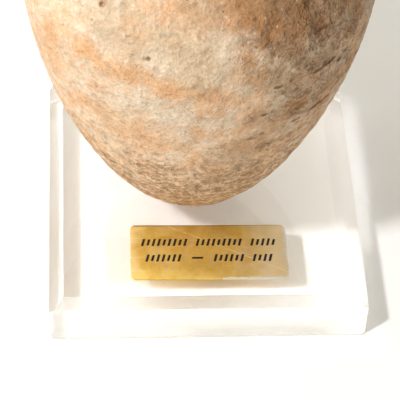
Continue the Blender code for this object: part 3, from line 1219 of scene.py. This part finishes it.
@dataclass(frozen=True)
class Vessel:
    """The hollow turned pot on its film of glue, with its outside weathered."""

    block: Block
    at: Vector = field(default_factory=lambda: Vector((-0.0043, 0.0045)))
    glue_film: float = 0.0003
    belly_radius: float = 0.0534
    belly_height: float = 0.096
    body_bend: float = 1.483
    body_fullness: float = 0.537
    wall: float = 0.005
    foot_thickness: float = 0.0045
    foot_cut: float = 0.0046
    foot_flat: float = 0.006
    foot_round: float = 0.0108
    shoulder_rise: float = 0.05
    neck_radius: float = 0.019
    neck_rise: float = 0.016
    lip_radius: float = 0.026
    lip_rise: float = 0.009
    lip_flare: float = math.radians(45.0)
    shoulder_fullness: Span = (0.62, 0.24)
    turn_steps: int = 380
    egg_spans: int = 900
    flat_spans: int = 80
    foot_spans: int = 200
    shoulder_spans: int = 300
    neck_spans: int = 80
    flare_spans: int = 60
    lip_spans: int = 40
    outer_gap: float = 0.00088
    outer_gap_below: float = 0.116
    upper_gap: float = 0.0013
    inner_gap: float = 0.0048
    seed: float = 3.0

    def egg(self, widest: float, height: float, lift: float) -> list[Vector]:
        """The lower body's curve from its tip up to its widest place.

        Args:
            widest: The radius at its widest.
            height: How far up that is from the tip.
            lift: The tip's height.

        Returns:
            The points.
        """
        points = [Vector((0.0, lift))]
        for i in range(1, self.egg_spans + 1):
            rise = 1.0 - math.cos(i / self.egg_spans * math.pi / 2)
            width = (1.0 - (1.0 - rise) ** self.body_bend) ** self.body_fullness
            points.append(Vector((widest * width, lift + height * rise)))
        return points

    @property
    def origin(self) -> Vector:
        """Where the body's curve would end in a point, were the foot not worn off."""
        return Vector((*self.at, self.block.height + self.glue_film - self.foot_cut))

    def lower_curve(self) -> list[Vector]:
        """The body's outer curve from the middle of the foot up to its widest place.

        Returns:
            The points.
        """
        curve = self.egg(self.belly_radius, self.belly_height, 0.0)
        kept = [point for point in curve if point.y > self.foot_round]
        rise = (kept[1] - kept[0]).normalized()
        hold = kept[0] - rise * ((kept[0].y - self.foot_cut) / rise.y)
        middle = Vector((0.0, self.foot_cut))
        low = Vector((self.foot_flat, self.foot_cut))
        flat = straight(middle, low, self.flat_spans)
        foot = bezier(low, low.lerp(hold, 2 / 3), kept[0].lerp(hold, 2 / 3), kept[0], self.foot_spans)
        return [middle] + flat + foot + kept[1:]

    def upper_curve(self) -> list[Vector]:
        """Shoulder, neck and flare, from the widest place up to the lip.

        Returns:
            The points.
        """
        neck_height = self.belly_height + self.shoulder_rise
        flare_height = neck_height + self.neck_rise
        lip_height = flare_height + self.lip_rise
        belly = Vector((self.belly_radius, self.belly_height))
        root = Vector((self.neck_radius, neck_height))
        top = Vector((self.neck_radius, flare_height))
        end = Vector((self.lip_radius, lip_height))
        over_belly, under_neck = (Vector((0.0, share * self.shoulder_rise))
                                  for share in self.shoulder_fullness)
        shoulder = bezier(belly, belly + over_belly, root - under_neck, root, self.shoulder_spans)
        neck = straight(root, top, self.neck_spans)
        hold = self.lip_rise / 2
        lean = Vector((math.sin(self.lip_flare), math.cos(self.lip_flare)))
        flare = bezier(top, top + Vector((0.0, hold)), end - hold * lean, end, self.flare_spans)
        return [belly] + shoulder + neck + flare

    def section(self) -> list[Vector]:
        """The pot's whole section, from its tip up outside, over the lip and down inside.

        Returns:
            The points.
        """
        upper = self.upper_curve()
        upper_inside = inset(upper, self.wall)
        middle = (upper[-1] + upper_inside[-1]) / 2
        across = upper[-1] - middle
        onward = Vector((-across.y, across.x))
        turns = [math.pi * i / self.lip_spans for i in range(1, self.lip_spans)]
        lip = [middle + across * math.cos(turn) + onward * math.sin(turn) for turn in turns]
        floor = self.foot_cut + self.foot_thickness
        inner_egg = self.egg(self.belly_radius - self.wall, self.belly_height - floor, floor)

        def gap_above(point: Vector) -> float:
            """The gap between points above the belly's widest place."""
            return self.outer_gap if point.y < self.outer_gap_below else self.upper_gap

        lower = spaced(self.lower_curve(), lambda _: self.outer_gap)
        higher = spaced(upper + lip, gap_above)
        inner = spaced(upper_inside[::-1] + inner_egg[-2::-1], lambda _: self.inner_gap)
        return lower + higher[1:] + inner

    def radius_at(self, height: float) -> float:
        """The pot's outer radius at a height."""
        line = self.lower_curve() + self.upper_curve()
        return min(line, key=lambda point: abs(point.y - height)).x

    def build(self, turning: bpy.types.NodeTree, finish: TerracottaFinish,
              effects: SharedEffects) -> bpy.types.Object:
        """Turns and weathers the pot.

        Args:
            turning: The geometry tree that turns a section.
            finish: The clay.
            effects: The shared shader groups.

        Returns:
            The pot.
        """
        material = finish.material(effects, self.origin, self.radius_at)
        skin = grown("pot_skin", line_mesh(self.section()), turning,
                     {"Turn Steps": self.turn_steps, "Axis": self.origin, "Material": material})
        mesh = grown("turned_vessel", skin, weathering_tree(),
                     {"Axis": self.origin, "Seed": self.seed, "Material": material})
        pot = placed("turned_vessel", mesh)
        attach(pot, Body.ROOT.value)
        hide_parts(Part.VESSEL.value)
        return pot


def stroke_tree() -> bpy.types.NodeTree:
    """A geometry tree that stands one slanted bar on each marked point.

    Returns:
        The tree.
    """
    takes = [Port("Marks", PortKind.GEOMETRY), Port("Depth", value=0.0004), Port("Slant", value=0.25),
             Port("Ink", PortKind.MATERIAL)]
    graph, taken, result = new_tree("stroke_rows", "GeometryNodeTree", takes,
                                    Port("Bars", PortKind.GEOMETRY))

    def stored(name: str, kind: str) -> Socket:
        """A value that each point carries."""
        return graph.add("GeometryNodeInputNamedAttribute", {"Name": name}, data_type=kind).outputs[0]

    bar = graph.add("GeometryNodeMeshCube", {"Size": (1.0, 1.0, 1.0)}).outputs["Mesh"]
    points = graph.add("GeometryNodeMeshToPoints", {"Mesh": taken["Marks"]}).outputs[0]
    size = graph.vector("MULTIPLY", stored("mark_size", "FLOAT_VECTOR"), graph.xyz(1.0, 1.0, taken["Depth"]))
    copies = {"Points": points, "Instance": bar, "Scale": size}
    bars = graph.add("GeometryNodeInstanceOnPoints", copies).outputs[0]
    bars = graph.reshaped("GeometryNodeRealizeInstances", bars)
    _, y, _ = graph.split(graph.add("GeometryNodeInputPosition").outputs[0])
    lean = graph.times(graph.minus(y, stored("mark_middle", "FLOAT")), taken["Slant"])
    bars = graph.reshaped("GeometryNodeSetPosition", bars, {"Offset": graph.xyz(lean)})
    bars = graph.reshaped("GeometryNodeSetMaterial", bars, {"Material": taken["Ink"]})
    graph.feed(result, bars)
    return graph.tree


@dataclass(frozen=True)
class Plate:
    """The thin gilt plate with its rows of inked strokes."""

    block: Block
    width: float = 0.0503
    depth: float = 0.0227
    thickness: float = 0.0008
    corner_radius: float = 0.0019
    from_front: float = 0.009
    x: float = 0.0005
    turn: float = math.radians(-0.5)
    glue_film: float = 0.0003
    edge_round: float = 0.00012
    corner_spans: int = 10
    rows: tuple[tuple[int, ...], ...] = ((9, 9, 5), (7, 0, 6, 4))
    stroke_height: float = 0.003
    stroke_short: float = 0.0025
    stroke_every: int = 3
    stroke_width: float = 0.0008
    stroke_depth: float = 0.0002
    stroke_pitch: float = 0.0017
    group_gap: float = 0.0023
    slant: float = math.radians(14.0)
    dash_length: float = 0.0036
    row_pitch: float = 0.0066
    row_lift: float = 0.0006

    @property
    def place(self) -> Vector:
        """The middle of the plate's underside."""
        front = -self.block.depth / 2 + self.from_front
        return Vector((self.x, front + self.depth / 2, self.block.height + self.glue_film))

    def row_marks(self, groups: Sequence[int]) -> list[tuple[float, float, float]]:
        """The marks of one row, centred on nought.

        Args:
            groups: How many strokes each group has, or nought for a dash.

        Returns:
            The place, width and height of each mark.
        """
        marks = []
        end = 0.0
        start = 0.0
        for count in groups:
            if count == 0:
                end = start + self.dash_length
                marks.append(((start + end) / 2, self.dash_length, self.stroke_width))
            for i in range(count):
                end = start + i * self.stroke_pitch
                tall = self.stroke_short if i % self.stroke_every == 1 else self.stroke_height
                marks.append((end, self.stroke_width, tall))
            start = end + self.stroke_pitch + self.group_gap
        return [(place - end / 2, width, tall) for place, width, tall in marks]

    def marks(self) -> bpy.types.Mesh:
        """One point for each stroke, with its size and its row's middle.

        Returns:
            The mesh.
        """
        places, sizes, middles = [], [], []
        for row, groups in enumerate(self.rows):
            y = self.row_lift + self.row_pitch * ((len(self.rows) - 1) / 2 - row)
            for x, width, tall in self.row_marks(groups):
                places.append((x, y, self.thickness))
                sizes += [width, tall, 1.0]
                middles.append(y)
        mesh = bpy.data.meshes.new("stroke_marks")
        mesh.from_pydata(places, [], [])
        mesh.attributes.new("mark_size", "FLOAT_VECTOR", "POINT").data.foreach_set("vector", sizes)
        mesh.attributes.new("mark_middle", "FLOAT", "POINT").data.foreach_set("value", middles)
        return mesh

    def blank(self) -> bpy.types.Mesh:
        """The plate before its strokes are cut.

        Returns:
            The mesh.
        """
        shape = rounded_box(self.width, self.depth, self.thickness, self.corner_radius, self.corner_spans)
        rim = [edge for edge in shape.edges if abs(edge.verts[0].co.z - edge.verts[1].co.z) < TINY
               and edge.verts[0].co.z > self.thickness / 2]
        bmesh.ops.bevel(shape, geom=rim, offset=self.edge_round, segments=2, profile=0.5, affect="EDGES")
        bmesh.ops.recalc_face_normals(shape, faces=shape.faces)
        return drawn_off("plate_blank", shape)

    def build(self, finish: GiltFinish, ink: InkFinish, effects: SharedEffects) -> bpy.types.Object:
        """Cuts the plate and inks its strokes.

        Args:
            finish: The gilt metal.
            ink: The fill of the strokes.
            effects: The shared shader groups.

        Returns:
            The plate.
        """
        ink_material = ink.material()
        bars = grown("strokes", self.marks(), stroke_tree(),
                     {"Depth": 2 * self.stroke_depth, "Slant": math.tan(self.slant), "Ink": ink_material})
        cutter = placed("stroke_cutter", bars)
        blank = placed("plate_blank", self.blank())
        halves = (self.width / 2 * PER_METRE, self.depth / 2 * PER_METRE)
        blank.data.materials.append(finish.material(effects, self.place, *halves))
        cut = blank.modifiers.new("Strokes", "BOOLEAN")
        cut.operation = "DIFFERENCE"
        cut.solver = "EXACT"
        cut.material_mode = "TRANSFER"
        cut.object = cutter
        mesh = evaluated_mesh(blank)
        for item in (blank, cutter):
            bpy.data.objects.remove(item)
        mesh.name = "gilt_plate"
        mesh.transform(Matrix.Translation(self.place) @ Matrix.Rotation(self.turn, 4, "Z"))
        smoothed(mesh)
        plate = placed("gilt_plate", mesh)
        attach(plate, Body.ROOT.value)
        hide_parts(Part.PLATE.value)
        return plate


def heading(turn: float, fall: float) -> Vector:
    """A direction, from its turn off +Y toward +X and its fall below the level."""
    level = math.cos(fall)
    return Vector((math.sin(turn) * level, math.cos(turn) * level, -math.sin(fall)))


@dataclass(frozen=True)
class Viewpoint:
    """The camera, looking steeply down from in front of the block."""

    place: Vector = field(default_factory=lambda: Vector((-0.0406, -0.4381, 0.4895)))
    elevation: float = math.radians(47.48)
    yaw: float = math.radians(5.23)
    roll: float = math.radians(-3.29)
    focal_pixels: float = 1945.0
    frame_pixels: float = 400.0
    sensor: float = 36.0
    clip: Span = (0.01, 100.0)

    def build(self) -> bpy.types.Object:
        """Makes the camera the scene's own.

        Returns:
            The camera.
        """
        ahead = heading(self.yaw, self.elevation)
        right = Vector((math.cos(self.yaw), -math.sin(self.yaw), 0.0))
        down = ahead.cross(right)
        across = math.cos(self.roll) * right + math.sin(self.roll) * down
        below = math.cos(self.roll) * down - math.sin(self.roll) * right
        data = bpy.data.cameras.new("camera")
        data.sensor_width = self.sensor
        data.lens = self.sensor * self.focal_pixels / self.frame_pixels
        data.clip_start, data.clip_end = self.clip
        camera = placed("camera", data)
        turn = Matrix((across, -below, -ahead)).transposed()
        camera.matrix_world = Matrix.Translation(self.place) @ turn.to_4x4()
        bpy.context.scene.camera = camera
        return camera


@dataclass(frozen=True)
class Studio:
    """A plain white floor under one small key light, in a surround that is brighter on the left.

    The spans of the surround are read along its direction's X, Y or Z. What is seen directly,
    or through the clear block, has an even level of light behind it.
    """

    floor_size: float = 30.0
    floor_drop: float = 0.0002
    floor_colour: Tone = (0.84, 0.84, 0.84, 1.0)
    floor_roughness: float = 0.9
    floor_shine: float = 0.1
    aim: Vector = field(default_factory=lambda: Vector((0.0, 0.0, 0.05)))
    key_turn: float = math.radians(52.3)
    key_rise: float = math.radians(50.7)
    key_distance: float = 1.7
    key_size: float = 0.16
    key_power: float = 21.5
    fill_colour: Tone = (1.0, 0.958, 0.86, 1.0)
    side_span: Span = (0.1, 0.7)
    bright_side: float = 1.1
    dim_side: float = 0.3
    left_span: Span = (-1.0, 0.0)
    left_share: float = 2.0
    front_span: Span = (-0.6, 0.4)
    front_share: float = 0.5
    height_span: Span = (0.0, 0.7)
    horizon: float = 0.75
    through_block: float = 0.9
    through_level: float = 1.22
    light_bounces: int = 64

    def lay_floor(self) -> None:
        """Lays the floor just under the object."""
        shape = bmesh.new()
        drop = Matrix.Translation((0.0, 0.0, -self.floor_drop))
        bmesh.ops.create_grid(shape, x_segments=1, y_segments=1, size=self.floor_size / 2, matrix=drop)
        floor = placed("floor", drawn_off("floor", shape))
        values = {"Base Color": self.floor_colour, "Roughness": self.floor_roughness,
                  "Specular IOR Level": self.floor_shine}
        floor.data.materials.append(new_material("white_floor", self.floor_colour, values)[0])

    def hang_key_light(self) -> None:
        """Hangs the round key light, facing the object."""
        data = bpy.data.lights.new("key", "AREA")
        data.shape = "DISK"
        data.size = self.key_size
        data.energy = self.key_power
        light = placed("key", data)
        place = self.aim - heading(self.key_turn, self.key_rise) * self.key_distance
        facing = (self.aim - place).to_track_quat("-Z", "Y").to_matrix().to_4x4()
        light.matrix_world = Matrix.Translation(place) @ facing

    def set_surround(self) -> None:
        """Sets the surround's light."""
        world = bpy.data.worlds.new("surround")
        world.use_nodes = True
        bpy.context.scene.world = world
        graph = Graph(world.node_tree)
        x, y, z = graph.split(graph.add("ShaderNodeTexCoord").outputs["Generated"])
        graded = graph.times(graph.remap(x, *self.side_span, self.bright_side, self.dim_side),
                             graph.remap(z, *self.height_span, self.horizon, 1.0),
                             graph.remap(y, *self.front_span, self.front_share, 1.0),
                             graph.remap(x, *self.left_span, self.left_share, 1.0))
        path = graph.add("ShaderNodeLightPath").outputs
        even = graph.largest(path["Is Camera Ray"],
                             graph.times(path["Is Transmission Ray"], self.through_block))
        light = graph.plus(graph.times(graded, graph.minus(1.0, even)),
                           graph.times(even, self.through_level))
        background = world.node_tree.nodes["Background"].inputs
        graph.feed(background["Color"], self.fill_colour)
        graph.feed(background["Strength"], light)

    def build(self) -> None:
        """Lays the floor, hangs the light, sets the surround and says how far light is followed."""
        self.lay_floor()
        self.hang_key_light()
        self.set_surround()
        scene = bpy.context.scene
        scene.view_settings.view_transform = "Standard"
        for kind in ("max_bounces", "transmission_bounces", "glossy_bounces", "diffuse_bounces"):
            setattr(scene.cycles, kind, self.light_bounces)
        scene.cycles.use_guiding = True
        scene.cycles.guiding_training_samples = 0
        scene.cycles.sample_clamp_indirect = 0.0
        scene.cycles.blur_glossy = 0.0


BROWN = tone(134, 96, 60)
UMBER = tone(164, 130, 94)
GREY = tone(172, 150, 122)
ASH = tone(205, 180, 148)
CREAM = tone(212, 197, 175)
PEACH = tone(205, 158, 114)
RUST = tone(178, 128, 82)
# Slits: short dark cracks made in colour only, with no relief of their own, as painted shadows of crevices;
# each row gives turn, height, width and rise.
SLIT_SHADOW_TONE = tone(96, 62, 36)
SLIT_SHADOWS = tuple(ColourPatch(*row, SLIT_SHADOW_TONE, 0.75) for row in (
    (-49.0, 73.0, 4.5, 2.0), (-47.0, 73.5, 3.5, 2.0), (-44.0, 74.0, 4.0, 2.5), (-42.0, 73.5, 2.5, 2.0),
    (-53.0, 92.5, 5.0, 1.5), (-50.0, 93.0, 5.0, 1.5), (-47.0, 93.5, 4.0, 1.5), (-43.0, 91.0, 2.5, 2.0),
    (-51.0, 107.0, 7.0, 1.5), (-40.0, 93.0, 3.5, 2.0), (-57.0, 71.5, 4.0, 2.0), (-68.0, 92.5, 4.0, 1.5),
    (-70.0, 71.0, 2.5, 2.0), (-74.0, 69.5, 5.0, 1.5), (-50.0, 57.0, 4.0, 2.5), (-71.0, 81.0, 3.0, 1.5),
    (-109.0, 104.5, 1.5, 1.5), (-128.0, 114.5, 2.5, 2.0)))
# Patches of other colour on the clay, listed one by one as turn, height, width, rise, colour and strength.
# The brown, umber and grey patches between turns -78 and -40 lie on the pot's right side as the camera sees
# it, where the key light falls weakly, and darken it: partly the pot's own stains, partly painted shade.
STAINS_AND_SHADE = tuple(ColourPatch(*row) for row in (
    (-56.0, 114.0, 60.0, 30.0, BROWN, 0.75), (-66.0, 118.0, 26.0, 20.0, BROWN, 0.6),
    (-61.0, 79.0, 34.0, 20.0, UMBER, 0.6), (-40.0, 92.0, 44.0, 40.0, UMBER, 0.3),
    (-68.0, 97.0, 26.0, 18.0, UMBER, 0.5), (-78.0, 60.0, 26.0, 20.0, UMBER, 0.4),
    (-55.0, 98.0, 20.0, 12.0, GREY, 0.6), (-62.0, 90.0, 12.0, 6.0, GREY, 0.5),
    (-85.0, 118.0, 26.0, 14.0, RUST, 0.5), (-69.0, 112.0, 5.0, 18.0, RUST, 0.45),
    (-90.0, 93.0, 14.0, 7.0, RUST, 0.4), (-74.0, 68.0, 22.0, 9.0, RUST, 0.35),
    (-131.0, 110.0, 22.0, 20.0, CREAM, 0.3), (-102.0, 106.0, 24.0, 16.0, CREAM, 0.3),
    (-87.0, 107.0, 14.0, 22.0, CREAM, 0.6), (-112.0, 86.0, 18.0, 9.0, CREAM, 0.5),
    (-103.0, 82.0, 10.0, 9.0, CREAM, 0.5), (-97.0, 88.0, 16.0, 8.0, CREAM, 0.4),
    (-129.7, 99.5, 10.0, 9.0, PEACH, 0.8), (-116.0, 97.0, 18.0, 9.0, PEACH, 0.75),
    (-102.0, 94.5, 14.0, 9.0, PEACH, 0.85), (-114.0, 70.0, 28.0, 18.0, PEACH, 0.5),
    (-145.0, 92.0, 10.0, 24.0, PEACH, 0.5), (-95.0, 116.0, 14.0, 8.0, PEACH, 0.5),
    (-128.0, 115.5, 3.5, 5.0, RUST, 0.6), (-92.8, 99.8, 1.9, 1.9, BROWN, 0.9),
    (-110.0, 104.0, 1.6, 1.6, UMBER, 0.8), (-117.0, 111.0, 34.0, 22.0, GREY, 0.45),
    (-94.0, 105.0, 22.0, 20.0, ASH, 0.6), (-93.0, 104.0, 18.0, 14.0, GREY, 0.3),
    (-73.0, 66.0, 26.0, 16.0, UMBER, 0.3), (-95.0, 116.0, 20.0, 14.0, GREY, 0.4),
    (12.0, 104.0, 50.0, 34.0, UMBER, 0.5), (38.0, 70.0, 36.0, 24.0, CREAM, 0.6),
    (66.0, 112.0, 44.0, 22.0, PEACH, 0.5), (84.0, 84.0, 30.0, 20.0, ASH, 0.6),
    (108.0, 98.0, 24.0, 30.0, RUST, 0.35), (128.0, 62.0, 34.0, 22.0, PEACH, 0.5),
    (150.0, 106.0, 40.0, 26.0, CREAM, 0.6), (176.0, 78.0, 26.0, 26.0, UMBER, 0.35),
    (20.0, 134.0, 34.0, 16.0, CREAM, 0.5), (110.0, 136.0, 30.0, 14.0, RUST, 0.3),
    (-70.0, 138.0, 30.0, 14.0, UMBER, 0.5), (200.0, 150.0, 20.0, 14.0, ASH, 0.5)))


def main() -> None:
    """Builds the pieces in order and reports each."""
    logging.basicConfig(level=logging.INFO, format="%(message)s")
    Viewpoint().build()
    Studio().build()
    effects = SharedEffects(mottle_group(), hairline_group())
    turning = turning_tree()
    block = Block()
    vessel = Vessel(block)
    pieces = [
        vessel.build(turning, TerracottaFinish(stains_and_shade=STAINS_AND_SHADE, slit_shadows=SLIT_SHADOWS), effects),
        block.build(AcrylicFinish(), AcrylicFinish("softly_polished_acrylic", 0.22)),
        Plate(block).build(GiltFinish(), InkFinish(), effects),
    ]
    for piece in pieces:
        log.info("%s: %d faces", piece.name, len(piece.data.polygons))


if __name__ == "__main__":
    main()
